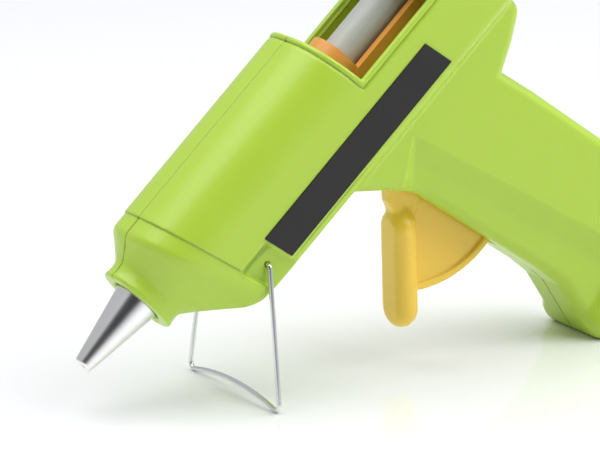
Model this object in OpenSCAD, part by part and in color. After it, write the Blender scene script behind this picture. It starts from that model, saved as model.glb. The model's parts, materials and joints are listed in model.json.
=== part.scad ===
// Trigger-fed hot-melt glue gun, standing nose-down on its wire stand and the toe of its handle.
// Everything is drawn in the gun's own frame and then stood up as a whole:
// x runs rearwards along the barrel from the nose ring's front, z is dorsal and y is lateral.

/* [Barrel] */
// Half of the barrel's width
barrel_half_width = 19.75; // [18.5:0.25:24]
// Height of the barrel's top above the glue channel's axis
barrel_top = 17.7; // [16.5:0.1:22]
// Depth of the barrel's underside below the glue channel's axis
barrel_bottom = 23.4; // [22.5:0.1:28]
// Radius of the barrel's upper corners
top_radius = 16.4; // [10:0.1:16.4]
// Radius of the barrel's lower corners
bottom_radius = 4; // [2:0.5:4]
// Distance from the nose ring's front to the barrel's rear face
barrel_length = 155; // [150:1:190]
// Thickness of the housing's wall
wall = 2.2; // [1.8:0.1:2.6]

/* [Nose] */
// Outer radius of the nose ring
ring_radius = 12.2; // [11.5:0.1:14]
// Length of the nose ring's straight lip
ring_length = 4.8; // [3:0.1:6]
// Radius of the hole in the nose ring
ring_hole_radius = 7.95; // [7.5:0.05:9]
// Where the nose reaches the full barrel height, along the barrel
nose_end = 13; // [11:0.5:16]
// How far the nose's end plane leans, as run per unit of height
styling_lean = 0.24; // [0:0.01:0.3]

/* [Nozzle] */
// How far the nozzle stands out of the nose ring
nozzle_reach = 24.5; // [18:0.5:32]
// Radius of the nozzle's tip
nozzle_tip_radius = 2.8; // [2:0.1:3.5]
// Radius of the nozzle at the nose ring
nozzle_radius = 7; // [6:0.1:7.4]
// Radius of the glue outlet in the tip
outlet_radius = 1; // [0.6:0.1:1.5]

/* [Glue stick] */
// Diameter of the glue stick
stick_diameter = 11.2; // [10.8:0.1:12]
// Length of the glue stick that is loaded
stick_length = 80; // [60:1:82]

/* [Handle] */
// Half of the handle's width
handle_half_width = 15.5; // [14.5:0.5:18]
// Fore and aft depth of the grip
grip_depth = 44; // [40:1:50]
// How far below the channel's axis the grip ends and the base flares
grip_drop = 108; // [100:1:130]
// How far below the channel's axis the toe of the base reaches
toe_drop = 131.5; // [126:0.5:150]
// Rake of the grip, as run per unit of height
grip_rake = 0.218; // [0.15:0.01:0.26]

/* [Trigger] */
// Radius of the trigger's web round its pin
web_radius = 35.7; // [32:0.1:38]
// Length of the finger paddle
paddle_length = 36; // [30:1:40]
// Half of the finger paddle's width
paddle_half_width = 7; // [6:0.5:9]
// Thickness of the finger paddle
paddle_thickness = 7.6; // [6:0.1:9]
// Radius of the trigger's pin
trigger_pin_radius = 2; // [1.6:0.1:2.4]

/* [Wire stand] */
// Radius of the stand's wire
wire_radius = 0.75; // [0.5:0.05:0.9]
// Length of the stand from its pivot to its feet
stand_drop = 42.4; // [38:0.2:50]
// Half of the distance between the feet
stand_half_width = 24; // [22:0.5:28]
// Splay of the legs in degrees
stand_splay = 10; // [6:0.5:10]

/* [Window] */
// Where the window starts along the barrel
window_start = 89.6; // [88:0.2:94]
// Length of the window
window_length = 38; // [30:1:42]
// Height of the window's lower edge above the channel's axis
window_sill = 0.4; // [-1:0.1:2]

/* [Hidden] */
$fn = 64;
hull_fn = 24;
arc_steps = 12;

// Clearances
fit_gap = 0.05;
slide_gap = 0.3;
free_gap = 0.4;

// Colours
lime = [0.66, 0.81, 0.24];
amber = [1.0, 0.78, 0.25];
orange = [0.93, 0.6, 0.25];
black = [0.14, 0.13, 0.13];
steel = [0.75, 0.76, 0.78];

// Where the nose's leaning end is past the whole height of the barrel
nose_overlap = nose_end + styling_lean * (barrel_top + barrel_bottom) + 0.5;

// Glue path
stick_radius = stick_diameter / 2;
channel_radius = stick_radius + free_gap;
nozzle_bore = 2.5;
nozzle_body_end = 8;
spigot_radius = 5;
spigot_length = 10;
chamber_start = nozzle_body_end + slide_gap;
chamber_step = 14;
chamber_end = 56;
chamber_front_radius = 9;
chamber_radius = channel_radius + 5;
throat_start = nozzle_body_end + spigot_length + 0.5;
channel_start = throat_start + 3.5;
chamber_spigot_radius = channel_radius + 1.6;
chamber_spigot_length = 6;

// Heater, in a pocket through the chamber's foot
foot_start = 18;
foot_end = 50;
foot_half_width = 9;
ptc_size = [26, 12, 2.4];
electrode_thickness = 0.3;
film_thickness = 0.3;
stack_height = ptc_size.z + 2 * electrode_thickness + 2 * fit_gap;
film_size = [28, ptc_size.y + 2 * fit_gap, stack_height + 2 * fit_gap];
film_outer = film_size + [0, 2 * film_thickness, 2 * film_thickness];
pocket_size = film_outer + [10, 2 * fit_gap, 2 * fit_gap];
heater_u = (foot_start + foot_end) / 2;
heater_v = -chamber_radius - 0.8 - film_outer.z / 2;
foot_bottom = heater_v - pocket_size.z / 2 - 1.6;
clip_thickness = 0.8;
clip_length = 16;

// Supports, sleeve and clamp
support_length = 3.4;
rib_thickness = 1.6;
rib_root = 0.2;
sleeve_rib_u = 70;
lead_passage = 13.5;
front_support_u = chamber_start + 1;
front_support_radius = chamber_front_radius + 3.5;
rear_support_u = foot_end + 1.2;
rear_support_radius = chamber_radius + 3.2;
sleeve_start = chamber_end + slide_gap;
sleeve_end = 75;
sleeve_radius = chamber_spigot_radius + fit_gap + 1.8;
sleeve_step = chamber_end + chamber_spigot_length + slide_gap;
clamp_thickness = 1.1;
clamp_start = sleeve_start + 1.2;
clamp_length = 3;

// Feed mechanism
trigger_u = 86;
trigger_v = -46;
arm_radius = 32;
arm_angle = 81;
arm_half_thickness = 3.2;
hub_radius = 4.2;
trigger_pin_reach = 10.5;
fork_gap = 1.5;
link_half_thickness = 1.2;
pin_radius = 1.2;
arm_tip_u = trigger_u + arm_radius * cos(arm_angle);
arm_tip_v = trigger_v + arm_radius * sin(arm_angle);
hoop_start = 90;
hoop_length = 4;
tray_length = 34;
tray_inner = stick_radius + 1;
tray_outer = tray_inner + 2.4;
tray_floor = -stick_radius - 2.2;
tray_floor_thickness = 2;
tray_rim = -2.2;
tray_bottom = tray_floor - tray_floor_thickness;
rail_top = tray_bottom - slide_gap;
rail_thickness = 2;
rail_middle = 108;
rail_length = 64;
gripper_u = 108;
gripper_v = tray_bottom - 3;
gripper_half_thickness = 2.6;
gripper_reach = gripper_v - 6.6;
gripper_bite_gap = 0.62;
link_open_gap = 0.8;
lug_thickness = 2.4;
spring_v = tray_bottom - 5;
spring_radius = 2.6;
spring_wire = 0.35;
spring_turns = 8;
spring_start = hoop_start + tray_length - 5;
spring_post_u = 142;
spring_post_radius = 1.5;

// Trigger paddle, along its own direction from its upper end
paddle_u = 72.4;
paddle_v = -48.5;
paddle_angle = 232.6;
web_half_thickness = 3.3;
web_panel_half_thickness = 2.2;
web_rim = 2.3;
web_from = 223;
web_to = 290;
slot_half_width = web_half_thickness + 0.5;
slot_front = trigger_u - 14;
slot_top = -40.5;
slot_bottom = -84;
arm_room_top = -20;
arm_wall = 0.9;

// Handle corner centres
grip_corner = 8;
grip_top = 22;
grip_front_u = 84.3;
base_corner = 5;
toe_u = 95.4;
toe_v = -toe_drop + 3.6;
heel_u = 133.5;
heel_v = toe_v + 10.4;
grip_bottom_u = grip_front_u + (grip_drop - grip_top) * grip_rake;
grip_rear_shift = grip_depth - 2 * grip_corner;
base_slope = atan2(heel_v - toe_v, heel_u - toe_u);
bush_u = (toe_u + heel_u) / 2 + base_corner * sin(base_slope);
bush_v = (toe_v + heel_v) / 2 - base_corner * cos(base_slope);

// Wire stand
pivot_u = 31.8;
pivot_v = -15.6;
stand_angle = 45.2;
foot_bend = 2;
pivot_bend = 1.2;
bar_slope = 12;
stand_pin_inner = 12.5;
stand_pin_radius = wire_radius + 0.05;
stand_fold = 94;
bar_reach = stand_half_width - foot_bend * sin(bar_slope);
bar_radius = bar_reach / sin(bar_slope);
bar_end = stand_drop - foot_bend * (1 - cos(bar_slope));
bar_middle = bar_end - bar_radius * (1 - cos(bar_slope));
leg_foot_y = stand_half_width + foot_bend * cos(stand_splay);
leg_foot_s = stand_drop - foot_bend - foot_bend * sin(stand_splay);
leg_top_s = pivot_bend * (1 - sin(stand_splay));
leg_top_y = leg_foot_y - (leg_foot_s - leg_top_s) * tan(stand_splay);
stand_pin_outer = leg_top_y - pivot_bend * cos(stand_splay);

// Stand pocket
pocket_start = 24.3;
pocket_end = 37.4;
pocket_top = -9.3;
pocket_depth = 2.7;
pad_half_width = stand_pin_inner - 1;

// Label plates
label_start = 36;
label_length = 75;
label_top = -7.9;
label_height = 11;
label_thickness = 0.4;

// Screws: [along the barrel, height, distance of the skin from the middle]
screw_radius = 1.5;
screw_head_radius = 2.9;
screw_boss_radius = 3.2;
screw_reach = 11;
screw_head_depth = 3;
top_screw_skin = barrel_half_width - 4.25;
barrel_screws = [
    [barrel_length - 7, -17, barrel_half_width],
    [barrel_length - 15, 10.4, top_screw_skin],
    [65, -17.4, barrel_half_width]
];
grip_screws = [[118, -60, handle_half_width], [122, -105, handle_half_width]];

// Terminal block, bush and collar
block_size = [12, 16, 9];
block_u = 113;
block_v = -88;
bush_radius = 5.2;
bush_bore = 3.4;
bush_length = 14;
bush_flange = 7;
bush_flange_thickness = 2;
collar_radius = 9;
collar_length = 7;
collar_flange = 10.5;
collar_flange_thickness = 2;
collar_bore = stick_radius + slide_gap;
lead_radius = 0.9;

// Pose of the whole gun on its two supports
foot_u = pivot_u - stand_drop * cos(stand_angle);
foot_v = pivot_v - stand_drop * sin(stand_angle);
span = norm([toe_u - foot_u, toe_v - foot_v]);
pitch = atan2(foot_v - toe_v, toe_u - foot_u) + asin((base_corner - wire_radius) / span);
lift = wire_radius - foot_u * sin(pitch) - foot_v * cos(pitch);
front_x = -nozzle_reach * cos(pitch) - nozzle_tip_radius * sin(pitch);
rear_x = heel_u * cos(pitch) - heel_v * sin(pitch) + base_corner;

module stand_up() {
    translate([-(front_x + rear_x) / 2, 0, lift])
        rotate([0, -pitch, 0])
            children();
}

// Points of an arc, from angle a to angle b
function arc(cx, cy, r, a, b, n = arc_steps) =
    [for (i = [0:n]) [cx + r * cos(a + (b - a) * i / n), cy + r * sin(a + (b - a) * i / n)]];

function unit(v) = v / norm(v);

// Direction of a path at point i
function heading(path, i) =
    unit(path[min(i + 1, len(path) - 1)] - path[max(i - 1, 0)]);

// Ring of points round point i of a path; up is any vector that the path never runs along
function ring(path, i, radius, up, sides) =
    let (t = heading(path, i), a = unit(cross(t, up)), b = cross(t, a))
    [for (k = [0:sides - 1]) path[i] + radius * (a * cos(360 * k / sides) + b * sin(360 * k / sides))];

// Round bar swept along a path of points
module tube(path, radius, up, sides = 8) {
    n = len(path);
    points = [for (i = [0:n - 1]) each ring(path, i, radius, up, sides)];
    walls = [for (i = [0:n - 2], k = [0:sides - 1])
        let (a = i * sides + k, b = i * sides + (k + 1) % sides)
        each [[a, b + sides, b], [a, a + sides, b + sides]]];
    first = [for (k = [0:sides - 1]) k];
    last = [for (k = [sides - 1:-1:0]) (n - 1) * sides + k];
    polyhedron(points, concat(walls, [first, last]), convexity = 6);
}

// Round bar along the barrel
module along(u, length, r1, r2 = -1) {
    translate([u, 0, 0])
        rotate([0, 90, 0])
            cylinder(h = length, r1 = r1, r2 = (r2 < 0) ? r1 : r2);
}

// Round bar across the gun, from y = a to y = b
module across(u, v, a, b, r) {
    translate([u, a, v])
        rotate([-90, 0, 0])
            cylinder(h = b - a, r = r);
}

// Block given by its centre and size
module block(centre, size) {
    translate(centre)
        cube(size, center = true);
}

// Flat shape in the side view, spread evenly to both sides of the middle
module side_plate(half_thickness) {
    rotate([90, 0, 0])
        linear_extrude(height = 2 * half_thickness, center = true)
            children();
}

// Section of the barrel, shrunk by inset
module barrel_section(inset) {
    w = barrel_half_width - inset;
    top = barrel_top - inset;
    low = -barrel_bottom + inset;
    rt = top_radius - inset;
    rb = max(bottom_radius - inset, 0.5);
    polygon(concat(
        arc(w - rt, top - rt, rt, 0, 90),
        arc(rt - w, top - rt, rt, 90, 180),
        arc(rb - w, low + rb, rb, 180, 270, 5),
        arc(w - rb, low + rb, rb, 270, 360, 5)
    ));
}

module barrel_bar(u, length, inset) {
    translate([u, 0, 0])
        rotate([90, 0, 90])
            linear_extrude(height = length)
                barrel_section(inset);
}

// Front end of the barrel, whose face leans with the housing's styling
module leaning_slice(inset) {
    difference() {
        barrel_bar(nose_end, nose_overlap + 1 - nose_end, inset);
        multmatrix([
            [1, 0, -styling_lean, nose_end + styling_lean * barrel_top],
            [0, 1, 0, 0],
            [0, 0, 1, 0]
        ])
            translate([-60, -50, -50])
                cube([60, 100, 100]);
    }
}

module nose(inset) {
    hull() {
        along(ring_length, 0.5, ring_radius - inset, $fn = 32);
        leaning_slice(inset);
    }
}

// Four ball corners, mirrored about the middle, at the given front and rear places
module corner_pair(front, rear, r, inset) {
    for (side = [-1, 1], p = [front, rear])
        translate([p.x, side * (handle_half_width - r), p.y])
            sphere(r = r - inset, $fn = hull_fn);
}

module grip(inset) {
    hull() {
        corner_pair([grip_front_u, -grip_top], [grip_front_u + grip_rear_shift, -grip_top],
                    grip_corner, inset);
        corner_pair([grip_bottom_u, -grip_drop], [grip_bottom_u + grip_rear_shift, -grip_drop],
                    grip_corner, inset);
    }
    hull() {
        corner_pair([grip_bottom_u, -grip_drop], [grip_bottom_u + grip_rear_shift, -grip_drop],
                    grip_corner, inset);
        corner_pair([toe_u, toe_v], [heel_u, heel_v], base_corner, inset);
    }
}

module housing_solid() {
    along(0, ring_length + 0.5, ring_radius);
    nose(0);
    barrel_bar(nose_overlap, barrel_length - nose_overlap, 0);
    grip(0);
}

module housing_hollow() {
    nose(wall);
    barrel_bar(nose_overlap, barrel_length - wall - nose_overlap, wall);
    grip(wall);
}

// Cross wall with a round seat, open below the seat for the leads
module rib(u, seat_radius) {
    difference() {
        barrel_bar(u, rib_thickness, wall - rib_root);
        along(u - 1, rib_thickness + 2, seat_radius);
        block([u, 0, -barrel_bottom], [8, 2 * lead_passage, 2 * (barrel_bottom - seat_radius * 0.7)]);
    }
}

// The three cross walls, kept within the housing's skin
module ribs() {
    intersection() {
        union() {
            rib(front_support_u + 0.9, front_support_radius + fit_gap);
            rib(rear_support_u + 0.9, rear_support_radius + fit_gap);
            rib(sleeve_rib_u, sleeve_radius + fit_gap);
        }
        union() {
            nose(wall - rib_root);
            barrel_bar(nose_overlap, barrel_length - nose_overlap, wall - rib_root);
        }
    }
}

module window_cut() {
    multmatrix([
        [1, 0, -styling_lean / 2, window_start],
        [0, 1, 0, 0],
        [0, 0, 1, window_sill]
    ])
        translate([0, -40, 0])
            cube([window_length, 80, 40]);
}

// Room for the stand's leg on one side, over its whole swing
module leg_room(side) {
    floor_y = stand_pin_outer - 0.15;
    reach = 15;
    slope = tan(stand_splay);
    start = 180 + stand_angle;
    side_bar(pivot_u, pivot_v, side, floor_y, floor_y + 12, 2 * wire_radius + free_gap);
    for (angle = [start, start + stand_fold])
        translate([pivot_u, side * (floor_y + 6.15), pivot_v])
            rotate([0, -angle, 0])
                block([3, 0, 0], [6, 12, 2 * (wire_radius + slide_gap)]);
    translate([pivot_u, 0, pivot_v])
        rotate([90, 0, 0])
            mirror([0, 0, (side > 0) ? 1 : 0])
                rotate([0, 0, start - 7])
                    rotate_extrude(angle = stand_fold + 14)
                        polygon([
                            [0, floor_y], [reach, floor_y + reach * slope],
                            [reach, floor_y + 12], [0, floor_y + 12]
                        ]);
}

// Wedge-shaped pocket round the stand's pivot, on one side
module stand_pocket(side) {
    floor_y = barrel_half_width - pocket_depth;
    translate([0, 0, -barrel_bottom - 1])
        linear_extrude(height = barrel_bottom + 1 + pocket_top)
            mirror_side(side)
                polygon([
                    [pocket_start, floor_y], [pocket_end, barrel_half_width],
                    [pocket_end, barrel_half_width + 6], [pocket_start, barrel_half_width + 6]
                ]);
}

// The shape itself on the far side, its mirror image on the near side
module mirror_side(side) {
    mirror([0, (side > 0) ? 0 : 1, 0])
        children();
}

module stand_pad(side) {
    pad_depth = barrel_half_width - wall / 2 - pad_half_width;
    block([(pocket_start + pocket_end) / 2,
           side * (pad_half_width + pad_depth / 2),
           (pocket_top - barrel_bottom + wall) / 2 + 0.6],
          [pocket_end - pocket_start + 3, pad_depth, barrel_bottom - wall + pocket_top + 2.4]);
}

// Everything that one half has besides its skin
module half_inside(side) {
    rail_inner = tray_inner + 1;
    rail_depth = barrel_half_width - wall / 2 - rail_inner;
    outer = barrel_half_width - wall / 2;
    grip_outer = handle_half_width - wall / 2;
    block([rail_middle, side * (rail_inner + rail_depth / 2), rail_top - rail_thickness / 2],
          [rail_length, rail_depth, rail_thickness]);
    stand_pad(side);
    side_bar(trigger_u, trigger_v, side, arm_half_thickness + slide_gap, grip_outer, hub_radius);
    side_bar(spring_post_u, spring_v, side, 0, outer, spring_post_radius);
    intersection() {
        for (p = barrel_screws)
            side_bar(p.x, p.y, side, 0, outer, screw_boss_radius);
        barrel_bar(nose_overlap, barrel_length - nose_overlap, wall / 2);
    }
    for (p = grip_screws)
        side_bar(p.x, p.y, side, 0, grip_outer, screw_boss_radius);
}

// Bar across one half only, between two distances from the middle
module side_bar(u, v, side, near, far, r) {
    across(u, v, (side > 0) ? near : -far, (side > 0) ? far : -near, r);
}

module half_cuts(side) {
    window_cut();
    along(-1, ring_length + 3, ring_hole_radius);
    along(barrel_length - wall - 1, wall + 2, collar_radius + fit_gap);
    stand_pocket(side);
    leg_room(side);
    across(pivot_u, pivot_v, -30, 30, stand_pin_radius + fit_gap);
    across(trigger_u, trigger_v, -trigger_pin_reach - fit_gap, trigger_pin_reach + fit_gap,
           trigger_pin_radius + fit_gap);
    translate([bush_u, 0, bush_v])
        rotate([0, 180 - base_slope, 0])
            cylinder(h = 2 * bush_length, r = bush_radius + fit_gap, center = true);
    for (p = concat(barrel_screws, grip_screws))
        across(p.x, p.y, -screw_reach - fit_gap, 40, screw_radius + fit_gap);
    for (p = concat(barrel_screws, grip_screws))
        across(p.x, p.y, p.z - screw_head_depth, 40, screw_head_radius + fit_gap);
}

// Slot in the front of the grip for the trigger's web, and room above it for the trigger's arm,
// which swings close behind the thinned front wall
module trigger_slot() {
    room_front = grip_front_u - grip_corner + arm_wall - grip_top * grip_rake;
    room_end = slot_top - 1;
    side_plate(slot_half_width) {
        polygon([
            [slot_front, slot_top], [trigger_u + 3, slot_top], [trigger_u + 12, slot_bottom],
            [slot_front, slot_bottom]
        ]);
        polygon([
            [room_front - arm_room_top * grip_rake, arm_room_top], [trigger_u, arm_room_top],
            [trigger_u, room_end], [room_front - room_end * grip_rake, room_end]
        ]);
    }
}

module housing_half(side) {
    reach = 400;
    color(lime)
        stand_up()
            intersection() {
                difference() {
                    union() {
                        difference() {
                            housing_solid();
                            housing_hollow();
                            trigger_slot();
                        }
                        half_inside(side);
                        ribs();
                    }
                    half_cuts(side);
                }
                translate([-reach / 2, (side > 0) ? 0 : -reach, -reach / 2])
                    cube(reach);
            }
}

module left_housing() {
    housing_half(-1);
}

module right_housing() {
    housing_half(1);
}

module nozzle() {
    color(steel)
        stand_up()
            difference() {
                union() {
                    along(-nozzle_reach, nozzle_reach, nozzle_tip_radius, nozzle_radius);
                    along(0, nozzle_body_end, nozzle_radius);
                    along(nozzle_body_end, spigot_length, spigot_radius);
                }
                along(-nozzle_reach - 1, nozzle_reach + nozzle_body_end, outlet_radius);
                along(-nozzle_reach + 5, nozzle_reach + nozzle_body_end + spigot_length, nozzle_bore);
            }
}

module melting_chamber() {
    foot_top = -chamber_radius + 2;
    color("silver")
        stand_up()
            difference() {
                union() {
                    along(chamber_start, chamber_step - chamber_start, chamber_front_radius);
                    along(chamber_step, chamber_end - chamber_step, chamber_radius);
                    along(chamber_end, chamber_spigot_length, chamber_spigot_radius);
                    block([heater_u, 0, (foot_top + foot_bottom) / 2],
                          [foot_end - foot_start, 2 * foot_half_width, foot_top - foot_bottom]);
                }
                along(chamber_start - 1, throat_start - chamber_start + 1, spigot_radius + fit_gap);
                along(throat_start, channel_start - throat_start, nozzle_bore, channel_radius);
                along(channel_start, 60, channel_radius);
                block([heater_u, 0, heater_v], pocket_size);
            }
}

module ptc_heater() {
    color("dimgray")
        stand_up()
            block([heater_u, 0, heater_v], ptc_size);
}

module electrodes() {
    offset_v = (ptc_size.z + electrode_thickness) / 2 + fit_gap / 2;
    color("goldenrod")
        stand_up()
            for (side = [-1, 1])
                block([heater_u, 0, heater_v + side * offset_v],
                      [ptc_size.x, ptc_size.y - 1, electrode_thickness]);
}

module heater_insulation() {
    color("darkorange")
        stand_up()
            difference() {
                block([heater_u, 0, heater_v], film_outer);
                block([heater_u, 0, heater_v], film_size + [2, 0, 0]);
            }
}

module heater_clip() {
    inner = foot_half_width + fit_gap;
    rise = 6;
    low = foot_bottom - fit_gap;
    color(steel)
        stand_up()
            difference() {
                block([heater_u, 0, low + (rise - clip_thickness) / 2],
                      [clip_length, 2 * (inner + clip_thickness), rise + clip_thickness]);
                block([heater_u, 0, low + rise],
                      [clip_length + 2, 2 * inner, 2 * rise]);
            }
}

// Ring round the chamber, seated in a rib of the housing
module support(u, inner, outer) {
    color("tan")
        stand_up()
            difference() {
                along(u, support_length, outer);
                along(u - 1, support_length + 2, inner + fit_gap);
            }
}

module front_support() {
    support(front_support_u, chamber_front_radius, front_support_radius);
}

module rear_support() {
    support(rear_support_u, chamber_radius, rear_support_radius);
}

module feed_sleeve() {
    color("firebrick")
        stand_up()
            difference() {
                along(sleeve_start, sleeve_end - sleeve_start, sleeve_radius);
                along(sleeve_start - 1, sleeve_step - sleeve_start + 1,
                      chamber_spigot_radius + fit_gap);
                along(sleeve_step - 1, sleeve_end, stick_radius + slide_gap);
            }
}

module sleeve_clamp() {
    color(steel)
        stand_up()
            difference() {
                along(clamp_start, clamp_length, sleeve_radius + fit_gap + clamp_thickness);
                along(clamp_start - 1, clamp_length + 2, sleeve_radius + fit_gap);
            }
}

module glue_stick() {
    color("lightgray")
        stand_up()
            along(66, stick_length, stick_radius);
}

module carriage() {
    tray_end = hoop_start + tray_length;
    lug_y = gripper_half_thickness + slide_gap + lug_thickness / 2;
    color(orange)
        stand_up()
            difference() {
                union() {
                    along(hoop_start, hoop_length, tray_outer);
                    block([(hoop_start + tray_end) / 2, 0, (tray_rim + tray_bottom) / 2],
                          [tray_length, 2 * tray_outer, tray_rim - tray_bottom]);
                    for (side = [-1, 1])
                        block([gripper_u, side * lug_y, gripper_v + 0.5],
                              [8, lug_thickness, 7]);
                    block([tray_end - 7, 0, spring_v + 1.5], [2, 5, 8]);
                }
                along(hoop_start - 1, tray_length + 2, stick_radius + slide_gap + 0.2);
                block([(hoop_start + hoop_length + tray_end) / 2 + 1, 0, tray_floor + 10],
                      [tray_length - hoop_length + 2, 2 * tray_inner, 20]);
                block([gripper_u, 0, tray_floor], [11, 2 * (gripper_half_thickness + slide_gap), 9]);
                across(gripper_u, gripper_v, -10, 10, pin_radius + fit_gap);
            }
}

module gripper() {
    tip = -stick_radius - gripper_bite_gap;
    color(steel)
        stand_up()
            difference() {
                side_plate(gripper_half_thickness)
                    polygon([
                        [gripper_u - 2.4, gripper_v], [gripper_u - 3.2, tip - 1], [gripper_u - 2.2, tip],
                        [gripper_u - 1.2, tip - 0.8], [gripper_u - 0.2, tip], [gripper_u + 0.8, tip - 0.8],
                        [gripper_u + 2.4, gripper_v], [gripper_u + 2.4, gripper_reach - 2.4],
                        [gripper_u - 2.4, gripper_reach - 2.4]
                    ]);
                across(gripper_u, gripper_v, -10, 10, pin_radius + fit_gap);
                across(gripper_u, gripper_reach, -10, 10, pin_radius + fit_gap);
                block([gripper_u, 0, gripper_reach - 0.4], [8, 2 * fork_gap, 9.6]);
            }
}

module gripper_pin() {
    reach = gripper_half_thickness + slide_gap + lug_thickness;
    color("gray")
        stand_up()
            across(gripper_u, gripper_v, -reach, reach, pin_radius);
}

module trigger_outline(r) {
    polygon(concat([[trigger_u, trigger_v]], arc(trigger_u, trigger_v, r, web_from, web_to, 20)));
}

module trigger() {
    color(amber)
        stand_up()
            difference() {
                union() {
                    side_plate(web_panel_half_thickness)
                        trigger_outline(web_radius - 1);
                    side_plate(web_half_thickness)
                        difference() {
                            trigger_outline(web_radius);
                            translate([trigger_u, trigger_v])
                                circle(r = web_radius - web_rim);
                        }
                    across(trigger_u, trigger_v, -arm_half_thickness, arm_half_thickness, hub_radius);
                    trigger_arm();
                    paddle();
                }
                across(trigger_u, trigger_v, -10, 10, trigger_pin_radius + fit_gap);
                across(arm_tip_u, arm_tip_v, -10, 10, pin_radius + fit_gap);
                across(arm_tip_u, arm_tip_v, -fork_gap, fork_gap, 7);
            }
}

module trigger_arm() {
    half = 2.8;
    translate([trigger_u, 0, trigger_v])
        rotate([0, -arm_angle, 0])
            block([arm_radius / 2, 0, 0], [arm_radius, 2 * arm_half_thickness, 2 * half]);
    across(arm_tip_u, arm_tip_v, -arm_half_thickness, arm_half_thickness, half);
}

// Finger paddle with round ends, and the neck that joins it to the hub
module paddle() {
    r = paddle_thickness / 2;
    translate([paddle_u, 0, paddle_v])
        rotate([0, -paddle_angle, 0])
            side_plate(paddle_half_width)
                translate([0, r]) {
                    translate([r, -r])
                        square([paddle_length - 2 * r, paddle_thickness]);
                    translate([r, 0])
                        circle(r = r);
                    translate([paddle_length - r, 0])
                        circle(r = r);
                }
    side_plate(web_panel_half_thickness)
        polygon([
            [trigger_u, trigger_v + 3.4], [paddle_u + 3, paddle_v + 2.2],
            [paddle_u, paddle_v - 4], [trigger_u - 3, trigger_v - 6]
        ]);
}

module trigger_pin() {
    color("gray")
        stand_up()
            across(trigger_u, trigger_v, -trigger_pin_reach, trigger_pin_reach,
                   trigger_pin_radius);
}

module link() {
    run = gripper_u - arm_tip_u;
    drop = gripper_reach - arm_tip_v;
    length = norm([run, drop]);
    eye = 2.6;
    color(steel)
        stand_up()
            difference() {
                union() {
                    across(arm_tip_u, arm_tip_v, -link_half_thickness, link_half_thickness, eye);
                    across(gripper_u, gripper_reach, -link_half_thickness, link_half_thickness, eye + 0.8);
                    translate([arm_tip_u, 0, arm_tip_v])
                        rotate([0, -atan2(drop, run), 0])
                            block([length / 2, 0, 0], [length, 2 * link_half_thickness, 3.6]);
                }
                across(arm_tip_u, arm_tip_v, -5, 5, pin_radius + fit_gap);
                across(gripper_u, gripper_reach, -5, 5, pin_radius + link_open_gap);
            }
}

module link_pin_front() {
    color("gray")
        stand_up()
            across(arm_tip_u, arm_tip_v, -arm_half_thickness, arm_half_thickness, pin_radius);
}

module link_pin_rear() {
    color("gray")
        stand_up()
            across(gripper_u, gripper_reach, -gripper_half_thickness, gripper_half_thickness, pin_radius);
}

module return_spring() {
    steps = 14;
    length = spring_post_u - spring_post_radius - spring_wire - 0.3 - spring_start;
    n = spring_turns * steps;
    path = [for (i = [0:n]) [
        spring_start + length * i / n,
        spring_radius * cos(360 * i / steps),
        spring_v + spring_radius * sin(360 * i / steps)
    ]];
    color("gray")
        stand_up()
            tube(path, spring_wire, [1, 0, 0], 6);
}

module terminal_block() {
    hole_radius = 1.4;
    color("ivory")
        stand_up()
            translate([block_u, 0, block_v])
                rotate([0, -atan(grip_rake), 0])
                    difference() {
                        block([0, 0, 0], block_size);
                        for (side = [-1, 1])
                            translate([0, side * 4, 0])
                                cylinder(h = block_size.z + 2, r = hole_radius, center = true);
                    }
}

// Lead from the terminal block to the heater, on one side
module lead(side) {
    y = side * 4;
    route = [
        [block_u - 1, y, block_v + 8], [block_u - 4, side * 8, block_v + 22],
        [104, side * 9.5, -50], [101, side * 9.5, -34], [97, side * 10, -24],
        [90, side * 11, -18.5], [82, side * 11.5, -16], [74, side * 11.8, -13.4],
        [66, side * 11.8, -12.6], [60, side * 10.5, -14.6], [55, side * 6.5, -16.4],
        [52.2, y, -16.4], [50.9, y, -15.4]
    ];
    stand_up()
        tube(route, lead_radius, [0, 1, 0.2], 8);
}

module live_lead() {
    color("white")
        lead(-1);
}

module neutral_lead() {
    color("white")
        lead(1);
}

module cord_bush() {
    color(black)
        stand_up()
            translate([bush_u, 0, bush_v])
                rotate([0, 180 - base_slope, 0])
                    difference() {
                        union() {
                            translate([0, 0, fit_gap - bush_length])
                                cylinder(h = bush_length, r = bush_radius);
                            translate([0, 0, fit_gap])
                                cylinder(h = bush_flange_thickness, r = bush_flange);
                        }
                        cylinder(h = 4 * bush_length, r = bush_bore, center = true);
                    }
}

module stick_collar() {
    color(black)
        stand_up()
            difference() {
                union() {
                    along(barrel_length - collar_length + collar_flange_thickness,
                          collar_length, collar_radius);
                    along(barrel_length + fit_gap, collar_flange_thickness, collar_flange);
                }
                along(barrel_length - 20, 40, collar_bore);
            }
}

module housing_screws() {
    color("dimgray")
        stand_up() {
            for (p = concat(barrel_screws, grip_screws))
                screw(p);
        }
}

module screw(place) {
    seat = place.z - screw_head_depth;
    across(place.x, place.y, -screw_reach, seat + 0.5, screw_radius);
    difference() {
        across(place.x, place.y, seat, seat + 2, screw_head_radius);
        for (turn = [0, 90])
            translate([place.x, seat + 2, place.y])
                rotate([0, turn, 0])
                    cube([3.4, 2, 0.7], center = true);
    }
}

// Half of the stand's wire, from the middle of its bar to its pivot: [lateral, down the leg]
function half_wire() = concat(
    [for (i = [0:6]) let (a = bar_slope * i / 6)
        [bar_radius * sin(a), bar_middle + bar_radius * (1 - cos(a))]],
    [for (i = [1:8]) let (a = bar_slope - (bar_slope + 90 + stand_splay) * i / 8)
        [stand_half_width - foot_bend * sin(a), stand_drop - foot_bend + foot_bend * cos(a)]],
    [for (i = [0:5]) let (a = -(90 + stand_splay) - (90 - stand_splay) * i / 5)
        [stand_pin_outer - pivot_bend * sin(a), pivot_bend + pivot_bend * cos(a)]]
);

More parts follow.
